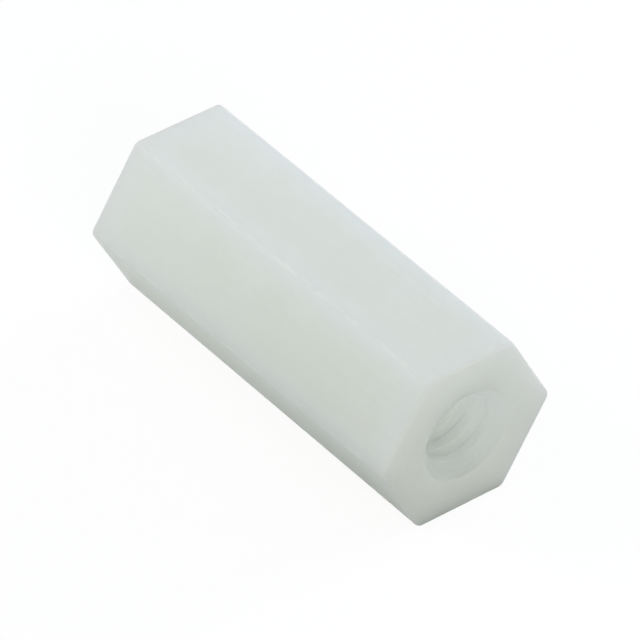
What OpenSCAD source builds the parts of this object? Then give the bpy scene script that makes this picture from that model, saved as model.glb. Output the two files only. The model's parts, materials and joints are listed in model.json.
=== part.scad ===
// Hex standoff: a length of six-sided plastic bar, drilled and tapped from end to end, with a
// countersink at each mouth. It lies on one of its flats, with the bore along X. The origin is on
// the bore's axis, halfway along. All sizes are in millimetres.

/* [Hex bar] */
// Width across the flats
flats_w = 6.35; // [5:0.05:12]
// Length from one end face to the other
bar_l = 15.875; // [5:0.125:60]
// Radius of the six long edges
edge_r = 0.3; // [0.15:0.05:0.6]
// Radius of the edges round each end face
end_r = 0.12; // [0.04:0.01:0.3]
// Radius of the turned round that takes the corners off each end
corner_r = 0.3; // [0.1:0.05:0.6]
// How far that round starts outside the long edges
corner_margin = 0.02; // [0.01:0.005:0.05]

/* [Threaded bore] */
// Major diameter of the thread, across its roots
thread_d = 3.505; // [2:0.005:4.2]
// Height of the thread, from its roots to its crests
thread_h = 0.4; // [0.2:0.01:0.6]
// Margin from the thread's major radius to the rim of a mouth
rim_margin = 0.03; // [0:0.01:0.2]
// Full angle of the countersink in each mouth
sink_angle = 90; // [60:1:120]

/* [Hidden] */
// Sides of a hexagon, and the turn from one to the next
SIDES = 6;
TURN = 360 / SIDES;
// A round's segments in a preview
ROUND = 96;
// How far a round stands outside the faces it joins, so that it crosses them cleanly
proud = 0.0005;
// How far the cutters run past what they cut
overrun = 1;

// Distance from the axis to the centre of a long edge's round, and to the edge itself
edge_at = (flats_w / 2 - edge_r) / cos(TURN / 2);
edge_reach = edge_at + edge_r;
// The drilled bore meets the thread's crests
bore_d = thread_d - 2 * thread_h;
rim_d = thread_d + 2 * rim_margin;
// How steeply the countersink opens, and its depth
sink_slope = tan(sink_angle / 2);
sink_depth = (rim_d - bore_d) / 2 / sink_slope;

// All that lies outside the round of one corner of the hexagon, at +X
module corner_waste() {
    translate([edge_at, 0])
        difference() {
            polygon([
                [0, 0],
                [overrun, overrun * tan(TURN / 2)],
                [overrun, -overrun * tan(TURN / 2)]
            ]);
            circle(r = edge_r + proud, $fn = ROUND);
        }
}

// Cross-section of the bar, with a corner at +X
module bar_section() {
    difference() {
        circle(d = flats_w / cos(TURN / 2), $fn = SIDES);
        for (corner = [0 : SIDES - 1])
            rotate(corner * TURN)
                corner_waste();
    }
}

// Side view of a bar w wide whose ends are rounded off with radius r
module rounded_side(w, r) {
    l = bar_l + 2 * proud;
    square([w, l - 2 * r], center = true);
    square([w - 2 * r, l], center = true);
    for (x = [-1, 1])
        for (y = [-1, 1])
            translate([x * (w / 2 - r), y * (l / 2 - r)])
                circle(r = r, $fn = ROUND);
}

// Slab that leaves two opposite flats, at +Y and -Y, and rounds their ends
module flat_rounder() {
    rotate([90, 0, 90])
        linear_extrude(2 * flats_w, center = true)
            rounded_side(flats_w + 2 * proud, end_r);
}

// Turned body that rounds the corners of both ends
module corner_rounder() {
    rotate_extrude($fn = ROUND)
        intersection() {
            rounded_side(2 * (edge_reach + corner_margin), corner_r);
            translate([0, -bar_l])
                square([flats_w, 2 * bar_l]);
        }
}

// The solid bar, standing along Z
module hex_bar() {
    intersection() {
        linear_extrude(bar_l, center = true)
            bar_section();
        flat_rounder();
        rotate(TURN)
            flat_rounder();
        rotate(2 * TURN)
            flat_rounder();
        corner_rounder();
    }
}

// All that the drill and the countersink take away, standing along Z
module bore_cut() {
    cylinder(d = bore_d, h = bar_l + 2 * overrun, center = true, $fn = ROUND);
    for (end = [0, 1])
        mirror([0, 0, end])
            translate([0, 0, bar_l / 2 - sink_depth])
                cylinder(
                    d1 = bore_d,
                    d2 = rim_d + 2 * overrun * sink_slope,
                    h = sink_depth + overrun,
                    $fn = ROUND
                );
}

// The whole standoff, turned so that its bore lies along X and a flat faces down
module standoff() {
    color("honeydew")
        rotate([0, 90, 0])
            rotate(TURN / 2)
                difference() {
                    hex_bar();
                    bore_cut();
                }
}

standoff();
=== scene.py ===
"""A hex standoff in milky nylon: the bar is cut, its edges are rounded, and it is drilled,
countersunk and tapped, then laid on a pale floor in soft studio light. The floor looks plain
white, and as it lights the standoff it is graded from pale to dim."""

import json
import math

import bpy
from bpy.props import FloatProperty, FloatVectorProperty, PointerProperty
from mathutils import Matrix, Vector


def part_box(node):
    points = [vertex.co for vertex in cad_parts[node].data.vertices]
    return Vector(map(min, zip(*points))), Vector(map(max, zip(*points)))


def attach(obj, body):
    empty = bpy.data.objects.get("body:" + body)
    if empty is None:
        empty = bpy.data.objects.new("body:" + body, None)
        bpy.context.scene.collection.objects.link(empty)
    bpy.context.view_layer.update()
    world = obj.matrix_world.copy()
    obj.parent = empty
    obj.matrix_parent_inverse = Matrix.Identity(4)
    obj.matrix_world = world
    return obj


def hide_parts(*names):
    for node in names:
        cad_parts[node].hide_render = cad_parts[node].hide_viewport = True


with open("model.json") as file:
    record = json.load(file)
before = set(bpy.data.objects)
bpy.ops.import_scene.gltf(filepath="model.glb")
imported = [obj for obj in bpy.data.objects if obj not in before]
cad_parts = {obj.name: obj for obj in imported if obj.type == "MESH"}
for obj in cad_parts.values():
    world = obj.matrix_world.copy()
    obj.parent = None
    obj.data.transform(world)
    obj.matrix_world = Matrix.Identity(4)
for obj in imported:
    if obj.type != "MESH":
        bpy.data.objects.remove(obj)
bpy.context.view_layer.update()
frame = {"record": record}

bl_info = {
    "name": "Hex standoff",
    "version": (1, 0, 0),
    "blender": (4, 5, 0),
    "location": "3D View > Sidebar > Standoff",
    "description": "Models a tapped hex standoff and the stage that it lies on",
    "category": "Add Mesh",
}

NODE = "standoff"
BODY = "root"
MOUNTS = {mount["name"]: mount for mount in frame["record"]["mounts"]}
BORE_DIMS = MOUNTS["thread_a"]["dims"]
LOW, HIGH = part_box(NODE)

# The piece is worked in millimetres, where the tools' small limits do no harm, then set to metres
MM = 0.001
SIDES = 6
HALF_TURN = math.pi / SIDES

# A bevel profile of one half is a circular arc
ROUND_PROFILE = 0.5
EDGE_SEGMENTS = 10
END_SEGMENTS = 6

# The drill's sides, and how far it runs past each end, in millimetres
DRILL_SIDES = 144
OVERRUN = 1.0

# A face whose normal reaches this far along an axis faces that way
SQUARE_ON = 0.9

# The thread: its turns to the inch, the slope of its flanks, and its root flat's share of a turn
INCH = 0.0254
TURNS_PER_INCH = 32
FLANK_ANGLE = math.radians(30)
ROOT_FLAT_SHARE = 1 / 8

# The tap's core lies inside the drilled wall by this share of the thread's height
CORE_SHARE = 1 / 4

# Steps in a turn of the tap, and turns beyond those that the bar needs
TAP_STEPS = 96
SPARE_TURNS = 3

# Points of the tap that are this close, in millimetres, are welded
WELD_GAP = 0.0001

# Faces that meet at a smaller angle are shaded as one round
SMOOTH_ANGLE = math.radians(25)

# How nylon bends light, and how matt its scuffs' shine is
NYLON_IOR = 1.53
SCUFF_COAT_ROUGHNESS = 0.5

# Noise patterns, from the softest to the busiest
SOFT_NOISE = {"Detail": 2.0, "Roughness": 0.5}
STREAK_NOISE = {"Detail": 2.0, "Roughness": 0.6}
GRAIN_NOISE = {"Detail": 3.0, "Roughness": 0.55}
BUSY_NOISE = {"Detail": 3.0, "Roughness": 0.6}

# Nearly all of a noise pattern lies between these two values
NOISE_LOW = 0.3
NOISE_HIGH = 0.7

# The broad clouds' share of all clouding, and how many times smaller the fine clouds are
BROAD_SHARE = 0.7
FINE_CLOUDS = 9.0

# The grain is rougher in patches, this many times its size
GRAIN_PATCH = 12.0

# Painted shade in the marks' grooves starts at this height and is full at these, on the skin and in
# the bore
MARK_SHADE_START = 0.5
SKIN_MARK_SHADE_FULL = 0.75
BORE_MARK_SHADE_FULL = 0.8

# The most that the painted shade in a mark's grooves darkens the nylon's colour
MARK_SHADE_SHARE = 0.3

# Clouds and rings in the bore are this many times finer than on the skin, and grain as much lower
BORE_FINENESS = 2.0

# How far patches of grain change the roughness, either way
GRAIN_SPREAD = 0.05

# How much less rough the scuffs and the smoothest parts of the bore are
SCUFF_POLISH = 0.12
BORE_POLISH = 0.08

# A painted cool tint, standing in for light through thin nylon, reaches this far from an end and
# this far down from a corner
THIN_TINT_REACH = 0.0016
THIN_TINT_DROP = 0.0004

# Draw lines are this many times as long as they are wide
LINE_STRETCH = 60.0

# Scuffs, whitened partly as real wear and partly as a painted highlight, are strokes this many
# times as long as they are wide
SCUFF_HIGHLIGHT_STRETCH = 3.0

# Breaks in the scuffs and their painted highlight, to the metre, and where their noise lets a scuff
# start and show in full
SCUFF_HIGHLIGHT_BREAKS = 2200.0
SCUFF_HIGHLIGHT_START = 0.49
SCUFF_HIGHLIGHT_FULL = 0.55

# Light crosses the milky walls many times before it comes out
LIGHT_BOUNCES = 32

# The floor is a disc, far wider than the camera sees
FLOOR_SIDES = 96
FLOOR_RADIUS = 0.6

# Each softbox's azimuth and elevation, their distance, and their width as a share of it
KEY_PLACE = (math.radians(315), math.radians(35))
FILL_PLACE = (math.radians(67), math.radians(25))
BACK_PLACE = (math.radians(180), math.radians(12))
SOFTBOX_DISTANCE = 0.4
SOFTBOX_SPREAD = 0.6
PLAIN_WHITE = (1.0, 1.0, 1.0)

# The camera aims close to the middle of the bore, and sees from the first distance to the second
AIM = Vector((0.000182, -0.000035, -0.000193))
CLIP_START = 0.01
CLIP_END = 10.0


class StandoffSizes(bpy.types.PropertyGroup):
    """Sizes of the standoff"""

    flats_width: FloatProperty(
        name="Width across flats",
        description="Distance between two opposite flats",
        default=HIGH.z - LOW.z,
        min=0.003,
        unit="LENGTH",
        precision=5,
    )
    length: FloatProperty(
        name="Length",
        description="Distance from one end face to the other",
        default=HIGH.x - LOW.x,
        min=0.003,
        unit="LENGTH",
        precision=5,
    )
    edge_radius: FloatProperty(
        name="Long edge radius",
        description="Radius of the six edges that the die leaves",
        default=0.0003,
        min=0.00005,
        unit="LENGTH",
        precision=5,
    )
    end_radius: FloatProperty(
        name="End edge radius",
        description="Radius that tumbling leaves round the end faces",
        default=0.00012,
        min=0.00002,
        unit="LENGTH",
        precision=5,
    )
    bore_radius: FloatProperty(
        name="Bore radius",
        description="Radius of the drilled hole, which is left at the thread's crests",
        default=BORE_DIMS["r_mm"] * MM,
        min=0.0005,
        unit="LENGTH",
        precision=5,
    )
    sink_depth: FloatProperty(
        name="Countersink depth",
        description="Depth of each countersink, which at 90 degrees is also its width",
        default=(HIGH.x - LOW.x - BORE_DIMS["length_mm"] * MM) / 2,
        min=0.0,
        unit="LENGTH",
        precision=5,
    )
    thread_pitch: FloatProperty(
        name="Thread pitch",
        description="Distance from one turn of the thread to the next",
        default=INCH / TURNS_PER_INCH,
        min=0.0002,
        unit="LENGTH",
        precision=5,
    )
    thread_height: FloatProperty(
        name="Thread height",
        description="Height of the thread from its roots to its crests",
        default=0.0003,
        min=0.00005,
        unit="LENGTH",
        precision=5,
    )


class StandoffFinish(bpy.types.PropertyGroup):
    """Colours and finish of the nylon"""

    skin_colour: FloatVectorProperty(
        name="Skin",
        description="Colour of the nylon's outer skin",
        subtype="COLOR",
        size=3,
        default=(0.873, 0.904, 0.878),
        min=0.0,
        max=1.0,
    )
    cloud_colour: FloatVectorProperty(
        name="Clouds",
        description="Colour of the faint clouds in the nylon",
        subtype="COLOR",
        size=3,
        default=(0.837, 0.878, 0.829),
        min=0.0,
        max=1.0,
    )
    # Painted light: a cooler tint where light passes through the thin corners and ends
    thin_light_tint: FloatVectorProperty(
        name="Thin corners",
        description="Cooler colour of the corners, where the nylon is thin",
        subtype="COLOR",
        size=3,
        default=(0.854, 0.904, 0.93),
        min=0.0,
        max=1.0,
    )
    # Painted shade: the darker colour stands in for shade in the grooves of draw lines and tool
    # marks
    mark_shade_colour: FloatVectorProperty(
        name="Tool marks",
        description="Colour that draw lines and tool marks leave on the nylon",
        subtype="COLOR",
        size=3,
        default=(0.8, 0.83, 0.79),
        min=0.0,
        max=1.0,
    )
    # Partly real scuffs and partly a painted highlight: the near-white colour stands in for the
    # glint along the long edges
    scuff_highlight_colour: FloatVectorProperty(
        name="Scuffs",
        description="Colour of the broken line of scuffs along each long edge",
        subtype="COLOR",
        size=3,
        default=(0.95, 0.995, 1.0),
        min=0.0,
        max=1.0,
    )
    # Painted light: the bore's colour is lifted to stand in for light that comes through the wall
    # into the bore
    bore_lit_colour: FloatVectorProperty(
        name="Bore",
        description="Colour of the freshly cut nylon in the bore",
        subtype="COLOR",
        size=3,
        default=(0.978, 1.0, 0.975),
        min=0.0,
        max=1.0,
    )
    # Painted light: the bore's clouds are lifted like the bore's colour
    bore_lit_cloud_colour: FloatVectorProperty(
        name="Bore clouds",
        description="Colour of the faint clouds in the bore",
        subtype="COLOR",
        size=3,
        default=(0.955, 0.985, 0.945),
        min=0.0,
        max=1.0,
    )
    inner_colour: FloatVectorProperty(
        name="Inside",
        description="Colour that light takes on as it passes through the nylon",
        subtype="COLOR",
        size=3,
        default=(0.995, 1.0, 0.995),
        min=0.0,
        max=1.0,
    )
    skin_glow: FloatProperty(
        name="Glow of the skin",
        description="Share of the light on the skin that passes through to the other side",
        default=0.4,
        min=0.0,
        max=1.0,
        subtype="FACTOR",
    )
    bore_glow: FloatProperty(
        name="Glow of the bore",
        description="Share of the light in the bore that has come through the wall",
        default=0.65,
        min=0.0,
        max=1.0,
        subtype="FACTOR",
    )
    skin_depth: FloatProperty(
        name="Glow depth of the skin",
        description="How far light spreads under the skin",
        default=0.0022,
        min=0.0,
        unit="LENGTH",
        precision=5,
    )
    bore_depth: FloatProperty(
        name="Glow depth of the bore",
        description="How far light spreads under the surface of the bore",
        default=0.002,
        min=0.0,
        unit="LENGTH",
        precision=5,
    )
    roughness: FloatProperty(
        name="Roughness",
        description="Mean roughness of the surface",
        default=0.66,
        min=0.0,
        max=1.0,
        subtype="FACTOR",
    )
    cloud_size: FloatProperty(
        name="Cloud size",
        description="Size of the faint clouds in the nylon",
        default=0.003,
        min=0.0,
        unit="LENGTH",
        precision=6,
    )
    grain_size: FloatProperty(
        name="Grain size",
        description="Size of the matt grain that tumbling leaves",
        default=0.00009,
        min=0.0,
        unit="LENGTH",
        precision=6,
    )
    grain_depth: FloatProperty(
        name="Grain depth",
        description="Depth of the matt grain",
        default=0.000012,
        min=0.0,
        unit="LENGTH",
        precision=6,
    )
    line_spacing: FloatProperty(
        name="Draw line spacing",
        description="Spacing of the draw lines along the flats",
        default=0.00022,
        min=0.0,
        unit="LENGTH",
        precision=6,
    )
    ring_spacing: FloatProperty(
        name="Tool mark spacing",
        description="Spacing of the rings that cutting tools leave",
        default=0.00016,
        min=0.0,
        unit="LENGTH",
        precision=6,
    )
    mark_depth: FloatProperty(
        name="Mark depth",
        description="Depth of the draw lines and rings",
        default=0.000014,
        min=0.0,
        unit="LENGTH",
        precision=6,
    )
    # The line of scuffs also carries the painted highlight
    scuff_and_highlight_width: FloatProperty(
        name="Scuff width",
        description="Width of the line of scuffs along each long edge",
        default=0.00018,
        min=0.0,
        unit="LENGTH",
        precision=6,
    )


class StandoffStage(bpy.types.PropertyGroup):
    """Floor, light and camera"""

    floor_colour: FloatVectorProperty(
        name="Floor",
        description="Colour of the graded floor's pale end, towards -X, as it lights the standoff",
        subtype="COLOR",
        size=3,
        default=(0.82, 0.8, 0.75),
        min=0.0,
        max=1.0,
    )
    floor_dim_colour: FloatVectorProperty(
        name="Floor, dim end",
        description="Colour of the graded floor's dim end, towards +X, as it lights the standoff",
        subtype="COLOR",
        size=3,
        default=(0.103, 0.1, 0.094),
        min=0.0,
        max=1.0,
    )
    grade_reach: FloatProperty(
        name="Grading reach",
        description="How far from the middle, either way, the floor goes from pale to dim",
        default=0.02,
        min=0.001,
        unit="LENGTH",
    )
    floor_white: FloatProperty(
        name="Floor white",
        description="White added to the floor where it is seen",
        default=0.855,
        min=0.0,
    )
    shadow_share: FloatProperty(
        name="Shadow share",
        description="Share of the light on the floor, and so of the shadow on it, that is seen",
        default=0.17,
        min=0.0,
        max=1.0,
        subtype="FACTOR",
    )
    sky_colour: FloatVectorProperty(
        name="Sky",
        description="Colour of the even light from all round",
        subtype="COLOR",
        size=3,
        default=(0.852, 0.89, 1.0),
        min=0.0,
        max=1.0,
    )
    sky_strength: FloatProperty(
        name="Sky strength",
        description="Strength of the even light from all round",
        default=0.62,
        min=0.0,
    )
    warm_colour: FloatVectorProperty(
        name="Warm white",
        description="Colour of the two softboxes in front",
        subtype="COLOR",
        size=3,
        default=(0.98, 0.96, 0.72),
        min=0.0,
        max=1.0,
    )
    key_strength: FloatProperty(
        name="Key strength",
        description="Radiance of the softbox in front, on the left",
        default=1.6,
        min=0.0,
    )
    fill_strength: FloatProperty(
        name="Fill strength",
        description="Radiance of the softbox in front, on the right",
        default=3.2,
        min=0.0,
    )
    back_strength: FloatProperty(
        name="Back strength",
        description="Radiance of the softbox behind",
        default=4.0,
        min=0.0,
    )
    azimuth: FloatProperty(
        name="Azimuth",
        description="Direction the camera looks from, turned from -Y towards +X",
        default=math.radians(49.25),
        subtype="ANGLE",
    )
    elevation: FloatProperty(
        name="Elevation",
        description="Height of the camera above the horizon",
        default=math.radians(39.73),
        subtype="ANGLE",
    )
    roll: FloatProperty(
        name="Roll",
        description="Turn of the camera about the line that it looks along",
        default=math.radians(3.15),
        subtype="ANGLE",
    )
    distance: FloatProperty(
        name="Distance",
        description="Distance from the camera to the point it looks at",
        default=0.2669,
        min=0.05,
        unit="LENGTH",
    )
    lens: FloatProperty(
        name="Lens",
        description="Focal length of the camera, in millimetres",
        default=441.3,
        min=10.0,
        subtype="DISTANCE_CAMERA",
    )


# Shaping tools


def start_clean():
    """Leaves nothing selected and no object in edit mode."""
    if bpy.context.object and bpy.context.object.mode != "OBJECT":
        bpy.ops.object.mode_set(mode="OBJECT")
    bpy.ops.object.select_all(action="DESELECT")


def work_on(piece):
    """Makes the piece the only one selected, and active."""
    start_clean()
    piece.select_set(True)
    bpy.context.view_layer.objects.active = piece


def choose(piece, edges=None, faces=None):
    """Selects the edges or faces of the piece for which the given test holds, in edit mode."""
    bpy.ops.object.mode_set(mode="OBJECT")
    bpy.context.tool_settings.mesh_select_mode = (False, bool(edges), bool(faces))
    mesh = piece.data
    for vertex in mesh.vertices:
        vertex.select = False
    for edge in mesh.edges:
        ends = [mesh.vertices[i].co for i in edge.vertices]
        edge.select = bool(edges) and edges(*ends)
    for face in mesh.polygons:
        face.select = bool(faces) and faces(face)
    bpy.ops.object.mode_set(mode="EDIT")


def apply_modifier(piece, kind, **values):
    """Adds a modifier with the given values and applies it."""
    work_on(piece)
    modifier = piece.modifiers.new(kind.title(), kind)
    for name, value in values.items():
        setattr(modifier, name, value)
    bpy.ops.object.modifier_apply(modifier=modifier.name)


def cut_away(piece, cutter):
    """Cuts the cutter's shape out of the piece and throws the cutter away."""
    apply_modifier(
        piece,
        "BOOLEAN",
        operation="DIFFERENCE",
        solver="EXACT",
        material_mode="TRANSFER",
        object=cutter,
    )
    bpy.data.objects.remove(cutter)


# The bar


def hex_bar(width, length, edge_radius, end_radius):
    """Saws off a length of six-sided bar, lying along X on a flat, and rounds all its edges."""
    start_clean()
    bpy.ops.mesh.primitive_cylinder_add(
        vertices=SIDES,
        radius=width / 2 / math.cos(HALF_TURN),
        depth=length,
        rotation=(0, math.pi / 2, 0),
    )
    bar = bpy.context.object
    bar.name = bar.data.name = "nylon_standoff"
    bpy.ops.object.transform_apply(location=False, rotation=True, scale=True)
    work_on(bar)

    # The six edges that run from end to end
    choose(bar, edges=lambda a, b: abs(a.x - b.x) > length / 2)
    bpy.ops.mesh.bevel(
        offset=edge_radius * math.tan(HALF_TURN),
        segments=EDGE_SEGMENTS,
        profile=ROUND_PROFILE,
        affect="EDGES",
    )

    # The edges round the two end faces
    choose(bar, edges=lambda a, b: abs(a.x - b.x) < length / 2)
    bpy.ops.mesh.bevel(
        offset=end_radius, segments=END_SEGMENTS, profile=ROUND_PROFILE, affect="EDGES"
    )
    bpy.ops.object.mode_set(mode="OBJECT")
    return bar


# The bore


def drill(radius, sink_depth, length):
    """A drill with a countersink at each end of the bar, as one solid to cut with."""
    start_clean()
    bpy.ops.mesh.primitive_cylinder_add(
        vertices=DRILL_SIDES,
        radius=radius,
        depth=length - 2 * sink_depth,
        rotation=(0, math.pi / 2, 0),
    )
    bit = bpy.context.object
    bpy.ops.object.transform_apply(location=False, rotation=True, scale=True)
    work_on(bit)
    reach = sink_depth + OVERRUN
    for end in (-1, 1):
        choose(bit, faces=lambda face: face.normal.x * end > SQUARE_ON)
        bpy.ops.mesh.extrude_region_move(TRANSFORM_OT_translate={"value": (end * reach, 0, 0)})
        flare = (radius + reach) / radius
        bpy.ops.transform.resize(value=(1, flare, flare), center_override=(0, 0, 0))
    bpy.ops.object.mode_set(mode="OBJECT")
    return bit


def tap(radius, pitch, height, length):
    """A right-hand tap that runs past both ends of the bar, as one solid to cut with."""
    root_flat = pitch * ROOT_FLAT_SHARE
    core = radius - height * CORE_SHARE
    core_gap = root_flat + 2 * (radius + height - core) * math.tan(FLANK_ANGLE)
    turns = math.ceil(length / pitch) + SPARE_TURNS
    start = -turns * pitch / 2
    outline = [
        (start, core),
        (start + (pitch - core_gap) / 2, core),
        (start + (pitch - root_flat) / 2, radius + height),
        (start + (pitch + root_flat) / 2, radius + height),
        (start + (pitch + core_gap) / 2, core),
        (start + pitch, core),
    ]
    start_clean()
    mesh = bpy.data.meshes.new("tap")
    mesh.from_pydata(
        [(x, r, 0) for x, r in outline], [(i, i + 1) for i in range(len(outline) - 1)], []
    )
    cutter = bpy.data.objects.new("tap", mesh)
    bpy.context.scene.collection.objects.link(cutter)
    apply_modifier(
        cutter,
        "SCREW",
        axis="X",
        angle=2 * math.pi,
        screw_offset=pitch,
        steps=TAP_STEPS,
        render_steps=TAP_STEPS,
        iterations=turns,
        use_merge_vertices=False,
    )
    work_on(cutter)
    bpy.ops.object.mode_set(mode="EDIT")
    bpy.ops.mesh.select_all(action="SELECT")
    bpy.ops.mesh.remove_doubles(threshold=WELD_GAP)
    for end in (-1, 1):
        bpy.ops.mesh.select_all(action="SELECT")
        bpy.ops.mesh.bisect(
            plane_co=(end * (length / 2 + pitch), 0, 0),
            plane_no=(end, 0, 0),
            use_fill=True,
            clear_outer=True,
        )
    bpy.ops.mesh.select_all(action="SELECT")
    bpy.ops.mesh.normals_make_consistent(inside=False)
    bpy.ops.object.mode_set(mode="OBJECT")
    return cutter


def smooth_faces(piece):
    """Rounds are shaded smooth, flats stay flat, and the thread keeps its edges."""
    work_on(piece)
    bpy.ops.object.shade_smooth_by_angle(angle=SMOOTH_ANGLE)
    apply_modifier(piece, "WEIGHTED_NORMAL", mode="FACE_AREA", keep_sharp=True)


def set_to_metres(piece):
    """Brings the piece from the workshop's millimetres to the frame's metres."""
    work_on(piece)
    bpy.ops.transform.resize(value=(MM, MM, MM), center_override=(0, 0, 0))
    bpy.ops.object.transform_apply(location=True, rotation=True, scale=True)


# Node groups


def feed(tree, socket, value):
    """Links an output to the socket, or sets the socket to a plain value."""
    if isinstance(value, bpy.types.NodeSocket):
        tree.links.new(value, socket)
    else:
        socket.default_value = value


def add(tree, kind, inputs, **settings):
    """Adds a node, sets it, and gives or links its inputs. Gives back its first output."""
    node = tree.nodes.new("ShaderNode" + kind)
    for name, value in settings.items():
        setattr(node, name, value)
    for socket, value in inputs.items():
        feed(tree, node.inputs[socket], value)
    return node.outputs[0]


def math_node(tree, operation, first, second=0.0):
    """Adds a Math node with the given operands."""
    return add(tree, "Math", {0: first, 1: second}, operation=operation)


def noise(tree, vector, scale, pattern):
    """Adds a noise of the given pattern, with so many waves to the metre."""
    return add(tree, "TexNoise", {"Vector": vector, "Scale": scale, **pattern})


def ramp(tree, value, low, high, bottom=0.0, top=1.0):
    """Adds a smooth rise from bottom to top as the value goes from low to high."""
    inputs = {"Value": value, "From Min": low, "From Max": high, "To Min": bottom, "To Max": top}
    return add(tree, "MapRange", inputs, interpolation_type="SMOOTHSTEP")


def mix_colours(tree, mask, first, second):
    """Adds a mix from the first colour to the second, as the mask goes from 0 to 1."""
    node = tree.nodes.new("ShaderNodeMix")
    node.data_type = "RGBA"
    sockets = {s.name: s for s in node.inputs if s.type == "RGBA"}
    tree.links.new(mask, node.inputs[0])
    for name, value in (("A", first), ("B", second)):
        if not isinstance(value, bpy.types.NodeSocket):
            value = (*value, 1)
        feed(tree, sockets[name], value)
    return next(out for out in node.outputs if out.type == "RGBA")


def stretch(tree, vector, times):
    """Stretches a pattern along the bar."""
    return add(tree, "VectorMath", {0: vector, 1: (1 / times, 1.0, 1.0)}, operation="MULTIPLY")


def start_group(name, inputs, outputs):
    """Starts a node group with the given sockets. Gives back it, its inputs and its output node."""
    group = bpy.data.node_groups.new(name, "ShaderNodeTree")
    for socket, kind in inputs:
        group.interface.new_socket(name=socket, in_out="INPUT", socket_type="NodeSocket" + kind)
    for socket, kind in outputs:
        group.interface.new_socket(name=socket, in_out="OUTPUT", socket_type="NodeSocket" + kind)
    given = group.nodes.new("NodeGroupInput").outputs
    return group, given, group.nodes.new("NodeGroupOutput")


def place_group(tree, group, inputs):
    """Places a node group in a material, and gives back its outputs."""
    node = tree.nodes.new("ShaderNodeGroup")
    node.node_tree = group
    for socket, value in inputs.items():
        feed(tree, node.inputs[socket], value)
    return node.outputs


def cloud_group():
    """Faint clouds of two sizes, which all nylon has."""
    group, given, out = start_group(
        "nylon_clouds", [("Vector", "Vector"), ("Size", "Float")], [("Clouds", "Float")]
    )
    scale = math_node(group, "DIVIDE", 1.0, given["Size"])
    fine_scale = math_node(group, "MULTIPLY", scale, FINE_CLOUDS)
    broad = noise(group, given["Vector"], scale, SOFT_NOISE)
    fine = noise(group, given["Vector"], fine_scale, BUSY_NOISE)
    broad = ramp(group, broad, NOISE_LOW, NOISE_HIGH, 0.0, BROAD_SHARE)
    fine = ramp(group, fine, NOISE_LOW, NOISE_HIGH, 0.0, 1.0 - BROAD_SHARE)
    group.links.new(math_node(group, "ADD", broad, fine), out.inputs["Clouds"])
    return group


def grain_group():
    """The matt grain that tumbling leaves: its height, and where it is rougher."""
    group, given, out = start_group(
        "matt_grain",
        [("Vector", "Vector"), ("Size", "Float")],
        [("Height", "Float"), ("Rougher", "Float")],
    )
    scale = math_node(group, "DIVIDE", 1.0, given["Size"])
    patch_scale = math_node(group, "DIVIDE", scale, GRAIN_PATCH)
    height = noise(group, given["Vector"], scale, GRAIN_NOISE)
    patches = noise(group, given["Vector"], patch_scale, BUSY_NOISE)
    group.links.new(height, out.inputs["Height"])
    group.links.new(ramp(group, patches, NOISE_LOW, NOISE_HIGH), out.inputs["Rougher"])
    return group


def ring_group():
    """The rings that a cutting tool leaves round the X axis, on a face or in the bore."""
    group, given, out = start_group(
        "tool_rings",
        [("Vector", "Vector"), ("Spacing", "Float")],
        [("Height", "Float"), ("Radius", "Float")],
    )
    scale = math_node(group, "DIVIDE", 1.0, given["Spacing"])
    along = add(group, "VectorMath", {0: given["Vector"], 1: (1.0, 0.0, 0.0)}, operation="MULTIPLY")
    across = add(group, "VectorMath", {0: given["Vector"], 1: along}, operation="SUBTRACT")
    length = group.nodes.new("ShaderNodeVectorMath")
    length.operation = "LENGTH"
    group.links.new(across, length.inputs[0])
    radius = length.outputs["Value"]
    circle = add(group, "VectorMath", {0: across}, operation="NORMALIZE")
    along = add(group, "VectorMath", {0: along, "Scale": scale}, operation="SCALE")
    place = add(group, "VectorMath", {0: along, 1: circle}, operation="ADD")
    height = add(
        group,
        "TexNoise",
        {
            "Vector": place,
            "W": math_node(group, "MULTIPLY", radius, scale),
            "Scale": 1.0,
            **STREAK_NOISE,
        },
        noise_dimensions="4D",
    )
    group.links.new(height, out.inputs["Height"])
    group.links.new(radius, out.inputs["Radius"])
    return group


def nylon_groups():
    """The node groups that the skin and the bore share."""
    return {"clouds": cloud_group(), "grain": grain_group(), "rings": ring_group()}


# Materials


def bump(tree, height, depth, normal=None):
    """Adds a Bump node of the given depth, on top of the normal that it is given."""
    inputs = {"Height": height, "Distance": depth}
    if normal:
        inputs["Normal"] = normal
    return add(tree, "Bump", inputs)


def milky(name, glow, depth, finish):
    """Milky nylon: part of the light is thrown back, and the rest comes out on the other side."""
    material = bpy.data.materials.new(name)
    material.use_nodes = True
    tree = material.node_tree
    shader = tree.nodes["Principled BSDF"]
    shader.inputs["IOR"].default_value = NYLON_IOR
    shader.inputs["Subsurface Weight"].default_value = 1.0
    shader.inputs["Subsurface Radius"].default_value = (1.0, 1.0, 1.0)
    shader.inputs["Subsurface Scale"].default_value = depth
    through = add(tree, "BsdfTranslucent", {"Color": (*finish.inner_colour, 1)})
    both = add(tree, "MixShader", {0: glow, 1: shader.outputs[0], 2: through})
    tree.links.new(both, tree.nodes["Material Output"].inputs["Surface"])
    return material, tree, shader


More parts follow.
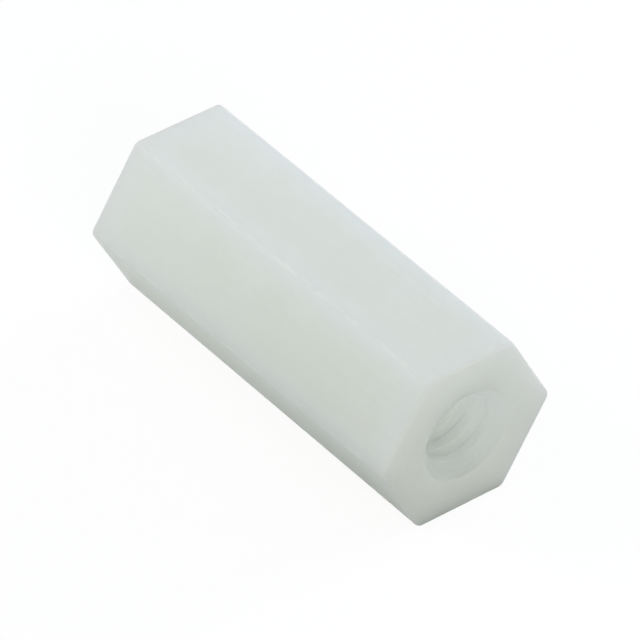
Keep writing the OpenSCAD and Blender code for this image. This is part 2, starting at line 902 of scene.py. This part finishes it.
def skin_nylon(finish, sizes, groups):
    """The bar's skin: clouds, a painted cool tint of light through the thin corners, draw lines and
    tool marks on the ends darkened as painted shade, and scuffed edges whitened partly as a painted
    highlight.
    """
    material, tree, shader = milky("skin_nylon", finish.skin_glow, finish.skin_depth, finish)
    place = tree.nodes.new("ShaderNodeTexCoord").outputs["Object"]
    clouds = place_group(tree, groups["clouds"], {"Vector": place, "Size": finish.cloud_size})[0]
    grain, rougher = place_group(
        tree, groups["grain"], {"Vector": place, "Size": finish.grain_size}
    )
    rings, radius = place_group(
        tree, groups["rings"], {"Vector": place, "Spacing": finish.ring_spacing}
    )

    # Where the ends and the corners are
    along = tree.nodes.new("ShaderNodeSeparateXYZ")
    tree.links.new(place, along.inputs[0])
    end_reach = math_node(tree, "ABSOLUTE", along.outputs["X"])
    half = sizes.length / 2
    on_end = ramp(tree, end_reach, half - sizes.end_radius / 2, half)
    corner = sizes.flats_width / 2 / math.cos(HALF_TURN)
    apex = corner - sizes.edge_radius * (1 / math.cos(HALF_TURN) - 1)
    to_corner = ramp(tree, radius, corner - THIN_TINT_DROP, corner)
    to_end = ramp(tree, end_reach, half - THIN_TINT_REACH, half)
    on_flat = math_node(tree, "SUBTRACT", 1.0, on_end)
    # Painted light: the mask for a cooler tint where the nylon is thin, at the corners and near the
    # ends
    thin = math_node(tree, "MAXIMUM", to_corner, math_node(tree, "MULTIPLY", to_end, on_flat))

    # Scuffs, whitened partly as real wear and partly as a painted highlight, are broken along the
    # edge, and wander a little across it
    breaks = noise(tree, stretch(tree, place, SCUFF_HIGHLIGHT_STRETCH), SCUFF_HIGHLIGHT_BREAKS, BUSY_NOISE)
    drop = apex - math.hypot(
        apex - sizes.edge_radius + math.sqrt(sizes.edge_radius**2 - (finish.scuff_and_highlight_width / 2) ** 2),
        finish.scuff_and_highlight_width / 2,
    )
    scuffs_and_highlight = math_node(
        tree,
        "MULTIPLY",
        ramp(tree, radius, apex - drop, apex - drop / 2),
        ramp(tree, breaks, SCUFF_HIGHLIGHT_START, SCUFF_HIGHLIGHT_FULL),
    )

    # Draw lines run along the flats, and the ends have rings in their place
    along_bar = stretch(tree, place, LINE_STRETCH)
    lines = noise(tree, along_bar, 1 / finish.line_spacing, STREAK_NOISE)
    lines = math_node(tree, "MULTIPLY", lines, on_flat)
    rings = math_node(tree, "MULTIPLY", rings, on_end)
    marks = math_node(tree, "ADD", lines, rings)

    colour = mix_colours(tree, clouds, finish.skin_colour, finish.cloud_colour)
    colour = mix_colours(tree, thin, colour, finish.thin_light_tint)
    # Painted shade: the marks darken the colour as shade in their grooves would
    groove_shade = ramp(tree, marks, MARK_SHADE_START, SKIN_MARK_SHADE_FULL, 0.0, MARK_SHADE_SHARE)
    colour = mix_colours(tree, groove_shade, colour, finish.mark_shade_colour)
    # Scuffs are whitened as real wear and as a painted highlight on the edge
    colour = mix_colours(tree, scuffs_and_highlight, colour, finish.scuff_highlight_colour)
    tree.links.new(colour, shader.inputs["Base Color"])

    smoothest = finish.roughness - GRAIN_SPREAD
    roughest = finish.roughness + GRAIN_SPREAD
    rough = ramp(tree, rougher, 0.0, 1.0, smoothest, roughest)
    rough = math_node(tree, "SUBTRACT", rough, math_node(tree, "MULTIPLY", scuffs_and_highlight, SCUFF_POLISH))
    tree.links.new(rough, shader.inputs["Roughness"])
    tree.links.new(scuffs_and_highlight, shader.inputs["Coat Weight"])
    shader.inputs["Coat Roughness"].default_value = SCUFF_COAT_ROUGHNESS

    normal = bump(tree, grain, finish.grain_depth)
    normal = bump(tree, marks, finish.mark_depth, normal)
    tree.links.new(normal, shader.inputs["Normal"])
    return material


def bore_nylon(finish, groups):
    """Nylon in the bore, its colours lifted as painted light that stands in for light through the
    wall: clouds, and rings left by the drill and the tap, darkened as painted shade.
    """
    material, tree, shader = milky("bore_nylon", finish.bore_glow, finish.bore_depth, finish)
    place = tree.nodes.new("ShaderNodeTexCoord").outputs["Object"]
    cloud_size = finish.cloud_size / BORE_FINENESS
    clouds = place_group(tree, groups["clouds"], {"Vector": place, "Size": cloud_size})[0]
    grain, rougher = place_group(
        tree, groups["grain"], {"Vector": place, "Size": finish.grain_size}
    )
    ring_spacing = finish.ring_spacing / BORE_FINENESS
    rings = place_group(tree, groups["rings"], {"Vector": place, "Spacing": ring_spacing})[0]
    # Painted light: the bore's lifted colours stand in for light through the wall
    colour = mix_colours(tree, clouds, finish.bore_lit_colour, finish.bore_lit_cloud_colour)
    # Painted shade: the rings darken the colour as shade in their grooves would
    groove_shade = ramp(tree, rings, MARK_SHADE_START, BORE_MARK_SHADE_FULL, 0.0, MARK_SHADE_SHARE)
    colour = mix_colours(tree, groove_shade, colour, finish.mark_shade_colour)
    tree.links.new(colour, shader.inputs["Base Color"])
    smoothest = finish.roughness - BORE_POLISH
    rough = ramp(tree, rougher, 0.0, 1.0, smoothest, finish.roughness)
    tree.links.new(rough, shader.inputs["Roughness"])
    normal = bump(tree, grain, finish.grain_depth / BORE_FINENESS)
    normal = bump(tree, rings, finish.mark_depth, normal)
    tree.links.new(normal, shader.inputs["Normal"])
    return material


class STANDOFF_OT_piece(bpy.types.Operator):
    """Model the standoff: bar, bore, countersinks and thread"""

    bl_idname = "standoff.piece"
    bl_label = "Standoff"

    def execute(self, context):
        sizes = context.scene.standoff_sizes
        finish = context.scene.standoff_finish
        length = sizes.length / MM
        radius = sizes.bore_radius / MM
        piece = hex_bar(
            sizes.flats_width / MM, length, sizes.edge_radius / MM, sizes.end_radius / MM
        )
        groups = nylon_groups()
        piece.data.materials.append(skin_nylon(finish, sizes, groups))
        bore_finish = bore_nylon(finish, groups)
        bit = drill(radius, sizes.sink_depth / MM, length)
        cutter = tap(radius, sizes.thread_pitch / MM, sizes.thread_height / MM, length)
        for tool in (bit, cutter):
            tool.data.materials.append(bore_finish)
            cut_away(piece, tool)
        set_to_metres(piece)
        smooth_faces(piece)
        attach(piece, BODY)
        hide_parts(NODE)
        return {"FINISHED"}


# The stage


def seen_directly(tree):
    """A mask that is 1 where a surface is seen, or mirrored, and 0 where it lights something."""
    path = tree.nodes.new("ShaderNodeLightPath").outputs
    mirrored = math_node(tree, "MAXIMUM", path["Is Glossy Ray"], path["Is Transmission Ray"])
    seen = math_node(tree, "MAXIMUM", path["Is Camera Ray"], mirrored)
    lighting = path["Is Diffuse Ray"]
    return add(tree, "Math", {0: seen, 1: lighting}, operation="SUBTRACT", use_clamp=True)


def lay_floor(stage):
    """A pale floor under the standoff, which looks white and keeps a faint shadow."""
    start_clean()
    bpy.ops.mesh.primitive_circle_add(
        vertices=FLOOR_SIDES, radius=FLOOR_RADIUS, fill_type="NGON"
    )
    floor = bpy.context.object
    floor.name = floor.data.name = "floor"
    for vertex in floor.data.vertices:
        vertex.co.z = LOW.z
    material = bpy.data.materials.new("pale_floor")
    material.use_nodes = True
    tree = material.node_tree
    tree.nodes.clear()

    # As it lights the standoff, the floor is graded along the bar
    place = tree.nodes.new("ShaderNodeTexCoord").outputs["Object"]
    along = add(tree, "SeparateXYZ", {0: place})
    grading = ramp(tree, along, -stage.grade_reach, stage.grade_reach)
    graded = mix_colours(tree, grading, stage.floor_colour, stage.floor_dim_colour)
    lit = add(tree, "BsdfDiffuse", {"Color": graded})

    # As it is seen, it is white with a faint shadow
    faint = add(tree, "BsdfDiffuse", {"Color": (*[stage.shadow_share] * 3, 1)})
    white = add(tree, "Emission", {"Strength": stage.floor_white})
    shown = add(tree, "AddShader", {0: faint, 1: white})

    both = add(tree, "MixShader", {0: seen_directly(tree), 1: lit, 2: shown})
    out = tree.nodes.new("ShaderNodeOutputMaterial")
    tree.links.new(both, out.inputs["Surface"])
    floor.data.materials.append(material)


def hang_sky(stage):
    """Even light from all round, which looks white."""
    world = bpy.data.worlds.new("studio")
    bpy.context.scene.world = world
    world.use_nodes = True
    tree = world.node_tree
    tree.nodes.clear()
    colour = (*stage.sky_colour, 1)
    light = add(tree, "Background", {"Color": colour, "Strength": stage.sky_strength})
    white = add(tree, "Background", {"Color": (*PLAIN_WHITE, 1)})
    both = add(tree, "MixShader", {0: seen_directly(tree), 1: light, 2: white})
    out = tree.nodes.new("ShaderNodeOutputWorld")
    tree.links.new(both, out.inputs["Surface"])


def towards(azimuth, elevation):
    """The direction of a point at the given azimuth, turned from -Y towards +X, and elevation."""
    return Vector(
        (
            math.sin(azimuth) * math.cos(elevation),
            -math.cos(azimuth) * math.cos(elevation),
            math.sin(elevation),
        )
    )


def hang_softbox(name, place, radiance, colour):
    """A square softbox of the given radiance, hung at a place and turned to the standoff."""
    lamp = bpy.data.lights.new(name, "AREA")
    lamp.color = colour
    lamp.shape = "SQUARE"
    lamp.size = SOFTBOX_SPREAD * SOFTBOX_DISTANCE
    lamp.energy = radiance * math.pi * lamp.size**2
    box = bpy.data.objects.new(name, lamp)
    bpy.context.scene.collection.objects.link(box)
    out = towards(*place)
    box.location = out * SOFTBOX_DISTANCE
    box.rotation_mode = "QUATERNION"
    box.rotation_quaternion = (-out).to_track_quat("-Z", "Y")


def place_camera(stage):
    """A long lens at the given azimuth and elevation, turned a little about its own line."""
    data = bpy.data.cameras.new("camera")
    data.lens = stage.lens
    data.clip_start = CLIP_START
    data.clip_end = CLIP_END
    camera = bpy.data.objects.new("camera", data)
    bpy.context.scene.collection.objects.link(camera)
    back = towards(stage.azimuth, stage.elevation)
    turn = (-back).to_track_quat("-Z", "Y").to_matrix()
    turn = turn @ Matrix.Rotation(stage.roll, 3, "Z")
    camera.matrix_world = Matrix.Translation(AIM + back * stage.distance) @ turn.to_4x4()
    bpy.context.scene.camera = camera


class STANDOFF_OT_stage(bpy.types.Operator):
    """Lay the floor, hang the lights and place the camera"""

    bl_idname = "standoff.stage"
    bl_label = "Stage"

    def execute(self, context):
        stage = context.scene.standoff_stage
        lay_floor(stage)
        hang_sky(stage)
        hang_softbox("key", KEY_PLACE, stage.key_strength, stage.warm_colour)
        hang_softbox("fill", FILL_PLACE, stage.fill_strength, stage.warm_colour)
        hang_softbox("back_light", BACK_PLACE, stage.back_strength, PLAIN_WHITE)
        place_camera(stage)
        context.scene.view_settings.view_transform = "Standard"
        cycles = context.scene.cycles
        cycles.max_bounces = LIGHT_BOUNCES
        cycles.diffuse_bounces = LIGHT_BOUNCES
        cycles.glossy_bounces = LIGHT_BOUNCES
        cycles.transmission_bounces = LIGHT_BOUNCES
        return {"FINISHED"}


class STANDOFF_PT_panel(bpy.types.Panel):
    """Lists the operators"""

    bl_idname = "STANDOFF_PT_panel"
    bl_label = "Hex standoff"
    bl_space_type = "VIEW_3D"
    bl_region_type = "UI"
    bl_category = "Standoff"

    def draw(self, context):
        for operator in (STANDOFF_OT_piece, STANDOFF_OT_stage):
            self.layout.operator(operator.bl_idname)


CLASSES = (
    StandoffSizes,
    StandoffFinish,
    StandoffStage,
    STANDOFF_OT_piece,
    STANDOFF_OT_stage,
    STANDOFF_PT_panel,
)


def register():
    for cls in CLASSES:
        bpy.utils.register_class(cls)
    bpy.types.Scene.standoff_sizes = PointerProperty(type=StandoffSizes)
    bpy.types.Scene.standoff_finish = PointerProperty(type=StandoffFinish)
    bpy.types.Scene.standoff_stage = PointerProperty(type=StandoffStage)


def unregister():
    del bpy.types.Scene.standoff_sizes
    del bpy.types.Scene.standoff_finish
    del bpy.types.Scene.standoff_stage
    for cls in reversed(CLASSES):
        bpy.utils.unregister_class(cls)


def main():
    register()
    bpy.ops.standoff.piece()
    bpy.ops.standoff.stage()


if __name__ == "__main__":
    main()
